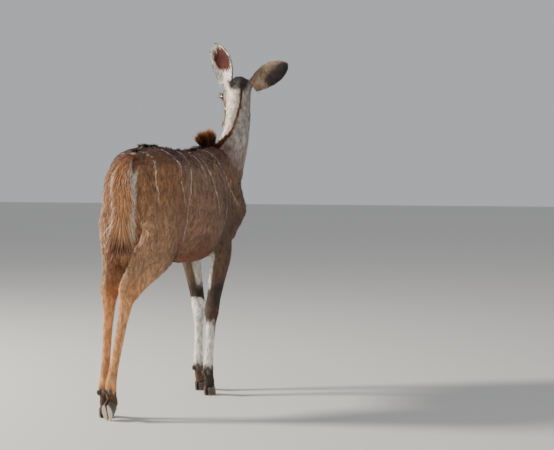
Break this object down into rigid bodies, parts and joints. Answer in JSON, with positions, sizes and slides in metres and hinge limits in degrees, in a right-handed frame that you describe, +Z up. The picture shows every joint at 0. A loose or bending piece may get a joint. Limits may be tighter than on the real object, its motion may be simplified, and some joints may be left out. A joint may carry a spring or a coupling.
{
  "type": "greater kudu",
  "caption": "Life-size standing model of a greater kudu cow, hornless, looking away over the left shoulder, with the right hind hoof resting on the toe.",
  "frame": {"origin": "on the floor, under the middle of the model's box", "axes": "+Z is up; the animal faces -Y, so the animal's left side is +X"},
  "size_m": [0.4286, 1.5588, 1.7294],
  "materials": {
    "coat": "short grey-brown hair with thin white stripes over the back and flanks",
    "head": "very short grey-brown hair with paler lips",
    "leg": "short tawny hair, white and dark in bands on the forelegs",
    "ear": "thin skin with short hair, a white rim and a dark red-brown inside",
    "horn": "dark horn, worn at the edges",
    "eye": "dark brown and wet",
    "mane": "stiff dark hair with lighter tips",
    "tail": "brown hair with white edges and a dark tip"
  },
  "bodies": {
    "root": {"neck": "coat", "head": "head", "eye_left": "eye", "eye_right": "eye", "ear_left": "ear", "ear_right": "ear", "foreleg_left_forearm": "leg", "foreleg_left_cannon": "leg", "foreleg_left_pastern": "leg", "foreleg_left_claw_left": "horn", "foreleg_left_dewclaw_left": "horn", "foreleg_left_claw_right": "horn", "foreleg_left_dewclaw_right": "horn", "foreleg_right_forearm": "leg", "foreleg_right_cannon": "leg", "foreleg_right_pastern": "leg", "foreleg_right_claw_left": "horn", "foreleg_right_dewclaw_left": "horn", "foreleg_right_claw_right": "horn", "foreleg_right_dewclaw_right": "horn", "hindleg_left_thigh": "leg", "hindleg_left_cannon": "leg", "hindleg_left_pastern": "leg", "hindleg_left_claw_left": "horn", "hindleg_left_dewclaw_left": "horn", "hindleg_left_claw_right": "horn", "hindleg_left_dewclaw_right": "horn", "hindleg_right_thigh": "leg", "hindleg_right_cannon": "leg", "hindleg_right_pastern": "leg", "hindleg_right_claw_left": "horn", "hindleg_right_dewclaw_left": "horn", "hindleg_right_claw_right": "horn", "hindleg_right_dewclaw_right": "horn", "torso": "coat", "tail_root": "tail", "tail_brush": "tail", "withers_mane": "mane", "back_crest": "mane", "neck_mane": "mane"}
  },
  "joints": []
}
